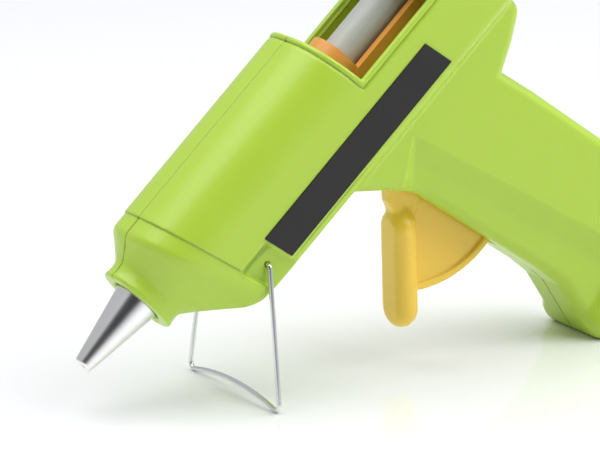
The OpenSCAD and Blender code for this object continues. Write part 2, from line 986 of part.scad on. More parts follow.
module wire_stand() {
    half = half_wire();
    n = len(half);
    flat = concat([for (i = [n - 1:-1:1]) [-half[i].x, half[i].y]], half);
    path = [for (p = flat) [-p.y * cos(stand_angle), p.x, -p.y * sin(stand_angle)]];
    color("silver")
        stand_up() {
            translate([pivot_u, 0, pivot_v])
                tube(path, wire_radius, [sin(stand_angle), 0, -cos(stand_angle)], 10);
            for (side = [-1, 1])
                side_bar(pivot_u, pivot_v, side, stand_pin_inner, stand_pin_outer + 0.4,
                         stand_pin_radius);
        }
}

// Plain plate on one side of the barrel, with leaning ends
module label(side) {
    lean = label_height * styling_lean * 0.85;
    color(black)
        stand_up()
            translate([0, side * (barrel_half_width + label_thickness / 2), 0])
                side_plate(label_thickness / 2)
                    polygon([
                        [label_start, label_top], [label_start + label_length, label_top],
                        [label_start + label_length + lean, label_top - label_height],
                        [label_start + lean, label_top - label_height]
                    ]);
}

module left_label() {
    label(-1);
}

module right_label() {
    label(1);
}

left_housing();
right_housing();
nozzle();
melting_chamber();
ptc_heater();
electrodes();
heater_insulation();
heater_clip();
front_support();
rear_support();
feed_sleeve();
sleeve_clamp();
glue_stick();
carriage();
gripper();
gripper_pin();
trigger();
trigger_pin();
link();
link_pin_front();
link_pin_rear();
return_spring();
terminal_block();
live_lead();
neutral_lead();
cord_bush();
stick_collar();
housing_screws();
wire_stand();
left_label();
right_label();
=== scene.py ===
import json
import math

import bmesh
import bpy
import numpy as np
from mathutils import Matrix, Vector


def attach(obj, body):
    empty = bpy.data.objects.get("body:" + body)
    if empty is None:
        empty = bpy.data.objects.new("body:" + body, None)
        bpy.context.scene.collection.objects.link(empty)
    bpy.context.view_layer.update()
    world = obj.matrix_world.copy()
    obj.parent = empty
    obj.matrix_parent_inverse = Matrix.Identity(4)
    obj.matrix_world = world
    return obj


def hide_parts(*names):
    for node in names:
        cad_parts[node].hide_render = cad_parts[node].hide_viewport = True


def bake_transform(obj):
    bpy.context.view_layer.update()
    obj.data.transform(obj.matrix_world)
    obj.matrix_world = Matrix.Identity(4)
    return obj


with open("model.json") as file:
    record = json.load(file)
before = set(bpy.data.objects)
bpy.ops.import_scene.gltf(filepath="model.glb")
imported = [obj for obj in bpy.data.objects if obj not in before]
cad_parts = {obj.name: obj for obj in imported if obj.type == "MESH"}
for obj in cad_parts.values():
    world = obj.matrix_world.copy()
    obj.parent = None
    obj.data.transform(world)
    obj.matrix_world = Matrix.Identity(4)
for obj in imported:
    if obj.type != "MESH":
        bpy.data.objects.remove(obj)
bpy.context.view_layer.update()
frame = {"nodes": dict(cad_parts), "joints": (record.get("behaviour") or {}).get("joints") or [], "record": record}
record = frame["record"]
joints = {j["name"]: j for j in frame["joints"]}

# ---------------------------------------------------------------- the gun's own frame
# x = U runs rearwards along the barrel, y is lateral and z = V is dorsal, all in mm.
# The stand's pivot and the slide's direction, both from the record, place it in the row frame.
PIVOT = (31.8, -15.6)
TRIGGER = (86.0, -46.0)
slide = Vector(joints["carriage_slide"]["axis"])
along_u = -slide.normalized()
dorsal = Vector((-along_u.z, 0.0, along_u.x))
stand_at = Vector(joints["stand_fold"]["pos_m"])
origin = stand_at - along_u * PIVOT[0] / 1000 - dorsal * PIVOT[1] / 1000
GUN = Matrix(
    (
        (along_u.x, 0, dorsal.x, origin.x),
        (0, 1, 0, 0),
        (along_u.z, 0, dorsal.z, origin.z),
        (0, 0, 0, 1),
    )
)


# ---------------------------------------------------------------- camera and light
AZIMUTH, ELEVATION = math.radians(31), math.radians(15.3)
back = Vector(
    (
        -math.sin(AZIMUTH) * math.cos(ELEVATION),
        -math.cos(AZIMUTH) * math.cos(ELEVATION),
        math.sin(ELEVATION),
    )
)
right = Vector((math.cos(AZIMUTH), -math.sin(AZIMUTH), 0))
up = back.cross(right)
CAMERA_OFFSET = Vector((-0.55239, -1.01163, 0.33798))
LENS, SENSOR = 248.4, 36
camera_data = bpy.data.cameras.new("camera")
camera_data.lens = LENS
camera_data.sensor_width = SENSOR
camera_data.clip_end = 20
camera_at = origin + CAMERA_OFFSET
camera = bpy.data.objects.new("camera", camera_data)
camera.matrix_world = Matrix(
    (
        (right.x, up.x, back.x, camera_at.x),
        (right.y, up.y, back.y, camera_at.y),
        (right.z, up.z, back.z, camera_at.z),
        (0, 0, 0, 1),
    )
)
bpy.context.scene.collection.objects.link(camera)
bpy.context.scene.camera = camera


LIT_POINT = (0, 0, 0.06)


def area_light(name, place, size, power):
    data = bpy.data.lights.new(name, "AREA")
    data.shape = "RECTANGLE"
    data.size, data.size_y = size
    data.energy = power
    lamp = bpy.data.objects.new(name, data)
    lamp.location = place
    lamp.rotation_euler = (Vector(LIT_POINT) - Vector(place)).to_track_quat("-Z", "Y").to_euler()
    bpy.context.scene.collection.objects.link(lamp)


area_light("top_light", (-0.3, 0.15, 1.3), (1.5, 1.2), 14)
area_light("front_light", (0.9, -0.85, 1.35), (1.9, 1.7), 22)
area_light("side_light", (1.1, -0.4, 0.9), (0.6, 0.8), 2)
bpy.context.scene.view_settings.view_transform = "Standard"


DARK_WAY = Vector((-0.35, -0.70, 0.63)).normalized()


def studio_world():
    """White surroundings with a dark region high on the near side, which bright metal reflects."""
    world = bpy.data.worlds.new("studio")
    world.use_nodes = True
    tree = world.node_tree
    background = tree.nodes["Background"]
    toward = tree.nodes.new("ShaderNodeVectorMath")
    toward.operation = "DOT_PRODUCT"
    toward.inputs[1].default_value = DARK_WAY
    coords = tree.nodes.new("ShaderNodeTexCoord")
    tree.links.new(coords.outputs["Generated"], toward.inputs[0])
    ramp = tree.nodes.new("ShaderNodeValToRGB")
    stops = ((0.74, (0.97, 0.98, 1, 1)), (0.86, (0.06, 0.06, 0.065, 1)))
    for element, (position, colour) in zip(ramp.color_ramp.elements, stops):
        element.position, element.color = position, colour
    tree.links.new(toward.outputs["Value"], ramp.inputs["Fac"])
    tree.links.new(ramp.outputs["Color"], background.inputs["Color"])
    background.inputs["Strength"].default_value = 0.56
    return world


bpy.context.scene.world = studio_world()


# ---------------------------------------------------------------- materials
class Nodes:
    """A material's nodes, made with one short call each."""

    def __init__(self, name):
        self.material = bpy.data.materials.new(name)
        self.material.use_nodes = True
        self.tree = self.material.node_tree
        self.shader = self.tree.nodes["Principled BSDF"]
        place = self.tree.nodes.new("ShaderNodeTexCoord").outputs["Object"]
        turn = {"Vector": place, "Location": origin, "Rotation": GUN.to_euler()}
        self.coords = self.add("Mapping", turn, vector_type="TEXTURE").outputs[0]

    def add(self, kind, inputs=None, **settings):
        node = self.tree.nodes.new("ShaderNode" + kind)
        for key, value in settings.items():
            setattr(node, key, value)
        for key, value in (inputs or {}).items():
            socket = node.inputs[key]
            if isinstance(value, bpy.types.NodeSocket):
                self.tree.links.new(value, socket)
            else:
                socket.default_value = value
        return node

    def math(self, operation, a, b=0.0):
        return self.add("Math", {0: a, 1: b}, operation=operation).outputs[0]

    def noise(self, scale, detail=3.0, stretch=(1, 1, 1), rough=0.5):
        place = self.add("Mapping", {"Vector": self.coords, "Scale": stretch}).outputs[0]
        settings = {"Vector": place, "Scale": scale, "Detail": detail, "Roughness": rough}
        return self.add("TexNoise", settings).outputs["Fac"]

    def span(self, value, low, high, from_low=0.0, from_high=1.0):
        limits = {"Value": value, "From Min": from_low, "From Max": from_high}
        limits.update({"To Min": low, "To Max": high})
        return self.add("MapRange", limits).outputs["Result"]

    def blend(self, factor, a, b):
        node = self.add("Mix", {"Factor": factor}, data_type="RGBA")
        for socket, value in ((node.inputs[6], a), (node.inputs[7], b)):
            if isinstance(value, bpy.types.NodeSocket):
                self.tree.links.new(value, socket)
            else:
                socket.default_value = tuple(value) + (1,)
        return node.outputs[2]

    def bump(self, height, depth, strength=1.0):
        inputs = {"Height": height, "Distance": depth, "Strength": strength}
        return self.add("Bump", inputs).outputs["Normal"]

    def set(self, **sockets):
        for key, value in sockets.items():
            socket = self.shader.inputs[key.replace("_", " ")]
            if isinstance(value, bpy.types.NodeSocket):
                self.tree.links.new(value, socket)
            elif socket.type == "RGBA":
                socket.default_value = value + (1,)
            else:
                socket.default_value = value
        return self.material


def plastic(name, colour, rough, grain=0.00003, mottle=0.06, **sockets):
    """Moulded plastic: fine grain, soft mottling and faint scuffs."""
    n = Nodes(name)
    cloud = n.noise(60, 4)
    fine = n.noise(3800, 2)
    scuff = n.noise(420, 6, (1, 1, 5), 0.62)
    worn = n.span(scuff, 0, 1, 0.60, 0.72)
    dark = tuple(c * (1 - mottle) for c in colour)
    light = tuple(min(1.0, c * (1 + mottle) + 0.004) for c in colour)
    base = n.blend(cloud, dark, light)
    sheen = n.span(cloud, rough - 0.03, rough + 0.05)
    gloss = n.math("ADD", sheen, n.math("MULTIPLY", worn, 0.07))
    return n.set(Base_Color=base, Roughness=gloss, Normal=n.bump(fine, grain, 0.5), **sockets)


def metal(name, colour, rough, stretch=(1, 1, 1), scale=900, depth=0.00001):
    """Bright metal with drawn or turned marks, stretched as asked."""
    n = Nodes(name)
    marks = n.noise(scale, 3, stretch)
    cloud = n.noise(90, 4)
    base = n.blend(cloud, tuple(c * 0.9 for c in colour), colour)
    gloss = n.math("ADD", n.span(marks, rough * 0.7, rough * 1.3), n.span(cloud, -0.02, 0.04))
    relief = n.bump(marks, depth, 0.6)
    return n.set(Base_Color=base, Roughness=gloss, Metallic=1.0, Normal=relief)


def housing_material():
    """Lime plastic, with a dark parting line, painted shade lines along its steps and grooves, and painted shade
    on the deep side of the stand's pocket.
    """
    n = Nodes("lime_plastic")
    parts = n.add("SeparateXYZ", {0: n.coords})
    u, w, v = parts.outputs
    cloud = n.noise(45, 4)
    fine = n.noise(3600, 2)
    scuff = n.noise(380, 6, (4, 1, 1), 0.62)
    worn = n.span(scuff, 0, 1, 0.61, 0.72)
    base = n.blend(cloud, (0.43, 0.635, 0.045), (0.46, 0.67, 0.06))
    base = n.blend(n.math("MULTIPLY", worn, 0.2), base, (0.54, 0.75, 0.12))

    def near(distance, half):
        return n.span(n.math("ABSOLUTE", distance), 1, 0, half * 0.5, half)

    def band(coordinate, middle, half):
        return near(n.math("ADD", coordinate, -middle), half)

    # Painted shade lines: dark bands laid along the nose step, the ledge under the label and the groove round the
    # window, where shade falls in those steps and grooves.
    lean = n.math("SUBTRACT", n.math("ADD", u, n.math("MULTIPLY", v, 0.245)), 0.02224)
    step_shade_line = n.math("MULTIPLY", near(lean, 0.00036), n.math("GREATER_THAN", v, -0.0088))
    ledge = n.math("MULTIPLY", band(v, -0.0199, 0.0003), band(u, 0.056, 0.018))
    slant = n.math("ADD", n.math("SUBTRACT", u, 0.10865), n.math("MULTIPLY", v, 0.12))
    ends = n.math("SUBTRACT", n.math("ABSOLUTE", slant), 0.019)
    rim = n.math("MAXIMUM", ends, n.math("SUBTRACT", 0.0004, v))
    groove = band(rim, 0.0019, 0.0003)
    seam = near(w, 0.00028)
    # Painted shade on the deep, steep side of the stand's pocket, on the outer skin only.
    near_skin = n.math("GREATER_THAN", n.math("ABSOLUTE", w), 0.0165)
    pocket_shade = n.math("MULTIPLY", band(v, -0.0105, 0.0019), band(u, 0.0305, 0.0075))
    pocket_shade = n.math("MULTIPLY", pocket_shade, n.math("MULTIPLY", near_skin, 1.1))
    line = step_shade_line
    for other in (ledge, pocket_shade, groove, seam):
        line = n.math("MAXIMUM", line, other)
    # Blends the painted shade lines, the painted pocket shade and the dark parting line into one dark green.
    base = n.blend(n.math("MULTIPLY", line, 0.6), base, (0.16, 0.27, 0.012))
    gloss = n.math("ADD", n.span(cloud, 0.30, 0.36), n.math("MULTIPLY", worn, 0.08))
    return n.set(
        Base_Color=base,
        Roughness=gloss,
        Normal=n.bump(fine, 0.00003, 0.45),
        IOR=1.5,
        Subsurface_Weight=0.08,
        Subsurface_Radius=(0.6, 1.0, 0.2),
        Subsurface_Scale=0.002,
        Coat_Weight=0.1,
        Coat_Roughness=0.15,
    )


def turned_aluminium():
    n = Nodes("turned_aluminium")
    rings = n.noise(700, 2, (6, 0.02, 0.02))
    cloud = n.noise(160, 4)
    heat = n.span(n.add("SeparateXYZ", {0: n.coords}).outputs[0], 1, 0, -0.024, 0.002)
    base = n.blend(cloud, (0.80, 0.80, 0.805), (0.87, 0.87, 0.875))
    base = n.blend(n.math("MULTIPLY", heat, 0.18), base, (0.66, 0.60, 0.50))
    gloss = n.math("ADD", n.span(rings, 0.17, 0.26), n.span(cloud, -0.02, 0.05))
    return n.set(Base_Color=base, Roughness=gloss, Metallic=1.0, Normal=n.bump(rings, 0.00001, 0.5))


def glue_material():
    """Milky glue, slightly see-through, with axial streaks."""
    n = Nodes("hot_melt_glue")
    streak = n.noise(260, 4, (0.06, 1, 1))
    fine = n.noise(1500, 2, (0.1, 1, 1))
    base = n.blend(streak, (0.52, 0.55, 0.50), (0.78, 0.80, 0.76))
    return n.set(
        Base_Color=base,
        Roughness=n.span(streak, 0.28, 0.45),
        Normal=n.bump(fine, 0.00005, 0.6),
        Transmission_Weight=0.25,
        IOR=1.48,
        Subsurface_Weight=0.5,
        Subsurface_Radius=(1.0, 1.0, 0.9),
        Subsurface_Scale=0.004,
    )


def label_material():
    n = Nodes("printed_film")
    cloud = n.noise(70, 4)
    fine = n.noise(2600, 3)
    scratch = n.noise(330, 6, (0.3, 1, 6), 0.65)
    worn = n.span(scratch, 0, 1, 0.64, 0.72)
    base = n.blend(cloud, (0.012, 0.011, 0.011), (0.019, 0.017, 0.017))
    base = n.blend(n.math("MULTIPLY", worn, 0.2), base, (0.06, 0.055, 0.055))
    gloss = n.math("ADD", n.span(cloud, 0.30, 0.38), n.math("MULTIPLY", worn, 0.12))
    return n.set(Base_Color=base, Roughness=gloss, Normal=n.bump(fine, 0.00002, 0.4), IOR=1.4)


MATERIALS = {
    "housing": housing_material(),
    "nozzle": turned_aluminium(),
    "chamber": metal("cast_aluminium", (0.66, 0.66, 0.67), 0.42, scale=1500, depth=0.00008),
    "heater": plastic("ceramic", (0.17, 0.17, 0.19), 0.55, 0.00005),
    "electrode": metal("brass", (0.78, 0.60, 0.30), 0.28, (0.1, 1, 1)),
    "film": plastic("amber_film", (0.55, 0.27, 0.05), 0.25, 0.00002),
    "spring_steel": metal("spring_steel", (0.62, 0.63, 0.65), 0.24, (1, 0.1, 1), 1600),
    "support": plastic("tan_resin", (0.52, 0.40, 0.25), 0.6, 0.00008),
    "sleeve": plastic(
        "red_silicone", (0.42, 0.05, 0.035), 0.5, 0.00004,
        Subsurface_Weight=0.15, Subsurface_Scale=0.002,
    ),
    "glue": glue_material(),
    "carriage": plastic(
        "orange_plastic", (0.84, 0.36, 0.06), 0.34, Subsurface_Weight=0.12, Subsurface_Scale=0.002
    ),
    "zinc": metal("zinc_plate", (0.56, 0.57, 0.60), 0.36, (0.1, 1, 1)),
    "pin": metal("ground_steel", (0.66, 0.67, 0.70), 0.16, (1, 0.05, 1), 1400),
    "trigger": plastic(
        "amber_plastic", (1.0, 0.64, 0.07), 0.30, Subsurface_Weight=0.15,
        Subsurface_Radius=(1.0, 0.5, 0.1), Subsurface_Scale=0.003, Coat_Weight=0.1,
    ),
    "block": plastic("ivory_plastic", (0.74, 0.69, 0.56), 0.45),
    "lead": plastic("lead_sleeve", (0.74, 0.73, 0.70), 0.5, 0.00008),
    "bush": plastic("black_rubber", (0.018, 0.018, 0.018), 0.55, 0.00008, 0.2),
    "collar": plastic("black_plastic", (0.02, 0.02, 0.02), 0.4, 0.00004, 0.2),
    "screw": metal("blackened_steel", (0.20, 0.20, 0.21), 0.34, scale=1800),
    "wire": metal("chrome_wire", (0.80, 0.81, 0.83), 0.09, (0.2, 0.2, 0.2), 1200, 0.000006),
    "label": label_material(),
}


# ---------------------------------------------------------------- distance fields, in mm
def smax(a, b, k):
    h = np.maximum(k - np.abs(a - b), 0) / k
    return np.maximum(a, b) + h * h * k / 4


def smin(a, b, k):
    return -smax(-a, -b, k)


def step(x, low, high):
    t = np.clip((x - low) / (high - low), 0, 1)
    return t * t * (3 - 2 * t)


def box2(x, y, hx, hy, r=0.0):
    qx, qy = np.abs(x) - hx + r, np.abs(y) - hy + r
    return np.minimum(np.maximum(qx, qy), 0) + np.hypot(np.maximum(qx, 0), np.maximum(qy, 0)) - r


def polygon(x, y, points):
    """Distance to a closed outline, negative inside."""
    best = np.full(np.broadcast(x, y).shape, 1e9)
    inside = np.zeros(best.shape, bool)
    for (ax, ay), (bx, by) in zip(points, points[1:] + points[:1]):
        ex, ey = bx - ax, by - ay
        t = np.clip(((x - ax) * ex + (y - ay) * ey) / (ex * ex + ey * ey), 0, 1)
        best = np.minimum(best, np.hypot(x - ax - t * ex, y - ay - t * ey))
        if ay != by:
            crosses = ((ay > y) != (by > y)) & (x < ex * (y - ay) / ey + ax)
            inside ^= crosses
    return np.where(inside, -best, best)


def segment(x, y, a, b):
    ex, ey = b[0] - a[0], b[1] - a[1]
    t = np.clip(((x - a[0]) * ex + (y - a[1]) * ey) / (ex * ex + ey * ey), 0, 1)
    return np.hypot(x - a[0] - t * ex, y - a[1] - t * ey)


def thick(flat, across, half, r):
    """A flat shape given thickness, with edges rounded to r."""
    a, b = flat + r, np.abs(across) - half + r
    return np.minimum(np.maximum(a, b), 0) + np.hypot(np.maximum(a, 0), np.maximum(b, 0)) - r


def mesh_from_field(name, field, low, high, h):
    """Closed mesh of field < 0: one vertex a cell, moved onto the surface, with exact normals."""
    axes = [np.arange(a, b + h, h) for a, b in zip(low, high)]
    n = [len(a) for a in axes]
    values = np.empty(n)
    for i in range(0, n[0], 32):
        part = slice(i, i + 32)
        grid = np.meshgrid(axes[0][part], axes[1], axes[2], indexing="ij")
        values[part] = field(*grid)
    inside = values < 0
    corner = [(i, j, k) for i in (0, 1) for j in (0, 1) for k in (0, 1)]
    cells = tuple(c - 1 for c in n)

    def at(array, c):
        return array[c[0] : c[0] + cells[0], c[1] : c[1] + cells[1], c[2] : c[2] + cells[2]]

    count = sum(at(inside, c).astype(np.int8) for c in corner)
    mixed = (count > 0) & (count < 8)
    index = np.full(cells, -1)
    where = np.argwhere(mixed)
    index[mixed] = np.arange(len(where))
    total = np.zeros((len(where), 3))
    hits = np.zeros(len(where))
    for a in corner:
        for axis in range(3):
            if a[axis]:
                continue
            b = tuple(x + (k == axis) for k, x in enumerate(a))
            fa, fb = at(values, a)[mixed], at(values, b)[mixed]
            cut = (fa < 0) != (fb < 0)
            t = np.where(cut, fa / np.where(cut, fa - fb, 1), 0)
            spot = np.array(a, float)[None, :].repeat(len(where), 0)
            spot[:, axis] += t
            total += spot * cut[:, None]
            hits += cut
    points = (where + total / hits[:, None]) * h + np.array([a[0] for a in axes])
    quads = []
    for axis in range(3):
        p, q = (axis + 1) % 3, (axis + 2) % 3
        here = [slice(None)] * 3
        there = [slice(None)] * 3
        here[axis], there[axis] = slice(0, -1), slice(1, None)
        change = inside[tuple(here)] != inside[tuple(there)]
        spots = np.argwhere(change)
        keep = (spots[:, p] > 0) & (spots[:, q] > 0)
        keep &= (spots[:, p] < cells[p]) & (spots[:, q] < cells[q])
        spots = spots[keep]
        loop = []
        for dp, dq in ((0, 0), (1, 0), (1, 1), (0, 1)):
            cell = spots.copy()
            cell[:, p] -= dp
            cell[:, q] -= dq
            loop.append(index[cell[:, 0], cell[:, 1], cell[:, 2]])
        loop = np.stack(loop, 1)
        out = inside[tuple(here)][tuple(spots.T)]
        loop[~out] = loop[~out][:, ::-1]
        quads.append(loop)
    quads = np.concatenate(quads)

    def slope(p, e):
        g = np.empty_like(p)
        for axis in range(3):
            d = np.zeros(3)
            d[axis] = e
            g[:, axis] = field(*(p + d).T) - field(*(p - d).T)
        return g / (2 * e)

    start = points.copy()
    for _ in range(3):
        g = slope(points, 0.04)
        f = field(*points.T)
        points = points - g * (f / np.maximum((g * g).sum(1), 0.2))[:, None]
        points = start + np.clip(points - start, -0.55 * h, 0.55 * h)
    normals = slope(points, 0.2)
    normals /= np.maximum(np.linalg.norm(normals, axis=1), 1e-6)[:, None]
    turn = np.array(GUN)
    points = points / 1000 @ turn[:3, :3].T + turn[:3, 3]
    normals = normals @ turn[:3, :3].T
    mesh = bpy.data.meshes.new(name)
    mesh.vertices.add(len(points))
    mesh.vertices.foreach_set("co", points.astype(np.float32).ravel())
    mesh.loops.add(quads.size)
    mesh.loops.foreach_set("vertex_index", quads.astype(np.int32).ravel())
    mesh.polygons.add(len(quads))
    mesh.polygons.foreach_set("loop_start", np.arange(0, quads.size, 4, dtype=np.int32))
    mesh.update(calc_edges=True)
    mesh.validate()
    mesh.shade_smooth()
    if len(mesh.vertices) == len(normals):
        mesh.normals_split_custom_set_from_vertices(normals)
    return mesh


def place(mesh, name, body, material, *nodes):
    """Puts a mesh on its body, in place of its CAD nodes."""
    piece = bpy.data.objects.new(name, mesh)
    bpy.context.scene.collection.objects.link(piece)
    mesh.materials.append(MATERIALS[material])
    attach(piece, body)
    if nodes:
        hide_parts(*nodes)
    return piece


# ---------------------------------------------------------------- housing
HALF, TOP, LOW, END, WALL = 19.75, 17.7, -23.4, 155.0, 2.2
GRIP = [
    (64.7, -17.6), (70.3, -23.1), (78.9, -32.8), (82.2, -38.5), (85.8, -44.5), (94.4, -83),
    (97.9, -99), (99.0, -108), (95.4, -127.9), (133.5, -117.5), (134.1, -108), (132.3, -100),
    (122.9, -53.8), (118.8, -37), (124.6, -34), (130.7, -31), (137, -27), (137, -17),
]
WIRE = 0.75
SCREWS = [
    (148, -17, 19.75), (140, 10.4, 15.5), (65, -17.4, 19.75), (118, -60, 15.5), (122, -105, 15.5)
]
SPRING_HEIGHT = -14.8
HOUSING_PITCH, TRIGGER_PITCH = 0.7, 0.45


def barrel_section(v, w):
    mid, half = (TOP + LOW) / 2, (TOP - LOW) / 2
    p = v - mid
    r = np.where(p > 0, 16.4, 4.0)
    qx, qy = np.abs(w) - HALF + r, np.abs(p) - half + r
    return np.minimum(np.maximum(qx, qy), 0) + np.hypot(np.maximum(qx, 0), np.maximum(qy, 0)) - r


def window_outline(u, v):
    lean = u + 0.12 * (v - 0.4)
    return box2(lean - 108.6, v - 30.4, 19, 30, 0.7)


def skin(u, w, v):
    """The housing's outside, before it is hollowed."""
    nose_end = 11.9 + (16.8 - np.clip(v, LOW, TOP)) * 0.254
    t = smin(np.maximum((u - 4.6) / (nose_end - 4.6), 0), 1.0, 0.22)
    line = u - 18.1 - (16.9 - v) * 0.245
    raised = step(line, -0.35, 0.35)
    body = (1 - t) * (np.hypot(v, w) - 11.5) + t * (barrel_section(v, w) + 0.42 * (1 - raised))
    edge = window_outline(u, v)
    rim = np.maximum(np.abs(u + 0.12 * (v - 0.4) - 108.6) - 19, 0.4 - v)
    groove = np.exp(-(((rim - 1.9) / 0.45) ** 2))
    body = body - 0.25 * step(edge, 1.9, 1.5) + 0.45 * groove
    ledge = np.exp(-(((v + 19.9) / 0.5) ** 2)) * step(u, 37.5, 38.6) * step(u, 76, 70)
    body = body + 0.35 * ledge
    body = smax(body, 4.2 - u, 0.5)
    ring = np.hypot(v, w) - 11.75 - 0.45 * np.exp(-((u / 1.8) ** 2))
    ring = smax(ring, np.abs(u - 2.8) - 2.8, 1.3)
    body = smin(body, ring, 0.8)
    body = smax(body, u - END, 5)
    outline = polygon(u, v, GRIP) - 5
    ahead = (91 - u) * 0.9595 + (-28 - v) * 0.2816
    under = (u - 91) * 0.565 + (-28 - v) * 0.826
    facet = smax(smin(ahead, 1.8 * under, 1.0), 0.0, 0.4) * step(v, -126, -112)
    grip = thick(outline, w, 15.5 - smin(0.46 * facet, 3.5, 1.0), 4)
    return smin(body, grip, 3.0)


def bar(u, v, w, cu, cv, near, far, r):
    return np.maximum(np.hypot(u - cu, v - cv) - r, np.abs(w - (near + far) / 2) - (far - near) / 2)


def half_housing(side):
    """The field of one half, drawn on the positive side of the middle."""

    def field(u, w, v):
        outer = skin(u, w, v)
        hollow = np.maximum(outer + WALL, 5.2 - u)
        shell = smax(outer, -hollow, 0.3)
        ahead_wall = polygon(u, v, [(72, -40.5), (89, -40.5), (98, -84), (72, -84)])
        shell = smax(shell, -thick(ahead_wall, w, 3.8, 0.3), 0.6)
        front = 84.3 - 8 + 0.9 - 22 * 0.218
        room = polygon(u, v, [(front + 4.36, -20), (86, -20), (86, -41.5), (front + 9.05, -41.5)])
        shell = np.maximum(shell, -np.maximum(room, np.abs(w) - 3.8))
        within = outer + 1.0
        rail = np.maximum(box2(u - 108, v + 11.1, 32, 1), 7.6 - w)
        pad = np.maximum(box2(u - 30.85, v + 15.2, 8.0, 8.2), 11.5 - w)
        inner = np.minimum(rail, pad)
        inner = np.minimum(inner, bar(u, v, w, *TRIGGER, 3.5, 15, 4.2))
        inner = np.minimum(inner, bar(u, v, w, 142, SPRING_HEIGHT, 0.05, 19, 1.5))
        for x, y, _ in SCREWS:
            inner = np.minimum(inner, bar(u, v, w, x, y, 0.05, 19, 3.2))
        for rib_u, seat in ((10.2, 12.55), (52.1, 14.25), (70, 9.5)):
            rib = np.maximum(np.abs(u - rib_u - 0.8) - 0.8, seat - np.hypot(v, w))
            passage = box2(w, v + 23.4, 13.5, 23.4 - seat * 0.7)
            inner = np.minimum(inner, np.maximum(rib, -passage))
        shell = smin(shell, np.maximum(inner, within), 0.3)
        shell = smax(shell, -window_outline(u, v), 0.9)
        shell = smax(shell, -np.maximum(np.hypot(v, w) - 7.95, u - 6), 1.0)
        shell = np.maximum(shell, -np.maximum(np.hypot(v, w) - 9.05, np.abs(u - END) - 3.5))
        down = -9.3 - v
        floor = smax(16.9 + (u - 24.3) * 0.11, 19.75 - 0.95 * (down + 0.3), 0.4)
        floor = smax(floor, 19.75 - 2.4 * (u - 23.8 - 0.26 * down), 0.5)
        floor = smax(floor, 19.75 - 1.2 * (35.5 + 0.24 * down - u), 0.4)
        shell = smax(shell, (w - floor) * 0.8, 0.4)
        du, dv = u - PIVOT[0], v - PIVOT[1]
        r = np.hypot(du, dv)
        turn = np.mod(np.degrees(np.arctan2(dv, du)), 360)
        sector = r * np.sin(np.radians(np.clip(np.abs(turn - 272.2) - 54, -89, 89)))
        slots = np.minimum(
            segment(u, v, PIVOT, (27.6, -19.86)), segment(u, v, PIVOT, (36.3, -19.5))
        ) - WIRE - 0.3
        leg = np.minimum(np.minimum(sector, r - WIRE - 0.6), slots)
        leg = np.maximum(np.maximum(leg, r - 15), 17.75 + r * 0.176 - w)
        shell = smax(shell, -leg, 0.4)
        shell = np.maximum(shell, WIRE + 0.1 - r)
        pin = np.hypot(u - TRIGGER[0], v - TRIGGER[1]) - 2.05
        shell = np.maximum(shell, -np.maximum(pin, w - 10.55))
        for x, y, z in SCREWS:
            q = np.hypot(u - x, v - y)
            if side > 0:
                shell = np.maximum(shell, 1.55 - q)
                shell = smax(shell, -np.maximum(q - 2.95, z - 3 - w), 0.4)
            else:
                shell = np.maximum(shell, -np.maximum(q - 1.55, w - 11.05))
        slope = math.atan2(10.4, 38.1)
        cu, cv = (95.4 + 133.5) / 2, (-127.9 - 117.5) / 2
        away = np.hypot((u - cu) * math.cos(slope) + (v - cv) * math.sin(slope), w)
        down = (u - cu) * math.sin(slope) - (v - cv) * math.cos(slope)
        shell = np.maximum(shell, -np.maximum(away - 5.25, -9 - down))
        return smax(shell, 0.03 - w, 0.35)

    def signed(u, w, v):
        return field(u, w * side, v)

    return signed


for side, name in ((-1, "left_housing"), (1, "right_housing")):
    low = (-1.1, -20.9 if side < 0 else -0.9, -134.5)
    high = (156.5, 0.9 if side < 0 else 20.9, 18.9)
    mesh = mesh_from_field(name + "_shell", half_housing(side), low, high, HOUSING_PITCH)
    place(mesh, name + "_shell", "housing", "housing", name)


# ---------------------------------------------------------------- trigger
ARM = math.radians(81)
ARM_TIP = (TRIGGER[0] + 32 * math.cos(ARM), TRIGGER[1] + 32 * math.sin(ARM))
NECK = [(86, -42.6), (77.6, -41.2), (74.6, -45), (72.8, -50), (74, -56), (83, -52)]
PADDLE = (72.4, -48.5)
PADDLE_DIR = (math.cos(math.radians(232.6)), math.sin(math.radians(232.6)))


def trigger_field(u, w, v):
    du, dv = u - TRIGGER[0], v - TRIGGER[1]
    r = np.hypot(du, dv)
    a, b = math.radians(223), math.radians(290)
    first = du * math.sin(a) - dv * math.cos(a)
    second = -du * math.sin(b) + dv * math.cos(b)
    wedge = np.maximum(first, second)
    panel = thick(np.maximum(wedge, r - 34.8), w, 2.2, 0.4)
    rim = thick(np.maximum(np.maximum(wedge, r - 35.7), 33.3 - r), w, 3.3, 0.7)
    web = smin(panel, rim, 0.8)
    x = (u - PADDLE[0]) * PADDLE_DIR[0] + (v - PADDLE[1]) * PADDLE_DIR[1]
    y = -(u - PADDLE[0]) * PADDLE_DIR[1] + (v - PADDLE[1]) * PADDLE_DIR[0]
    x, y = x - 0.07 * y, y + 0.07 * x
    plan = np.hypot(x - np.clip(x, 5.2, 29.6), w) - 6.5
    edge, face = plan + 3.6, np.abs(y - 3.8) - 0.2
    outside = np.hypot(np.maximum(edge, 0), np.maximum(face, 0))
    paddle = np.minimum(np.maximum(edge, face), 0) + outside - 3.6
    paddle = paddle + 0.3 * np.exp(-(((y - 5.6) / 0.5) ** 2))
    neck = thick(polygon(u, v, NECK), w, 2.6, 1.0)
    body = smin(smin(web, paddle, 1.0), neck, 1.6)
    hub = thick(r - 4.2, w, 3.2, 0.4)
    arm = thick(segment(u, v, TRIGGER, ARM_TIP) - 2.8, w, 3.2, 0.5)
    body = smin(body, np.minimum(hub, arm), 0.8)
    tip = np.hypot(u - ARM_TIP[0], v - ARM_TIP[1])
    body = smax(body, -np.maximum(tip - 7, np.abs(w) - 1.5), 0.2)
    body = np.maximum(body, 1.25 - tip)
    return np.maximum(body, 2.05 - r)


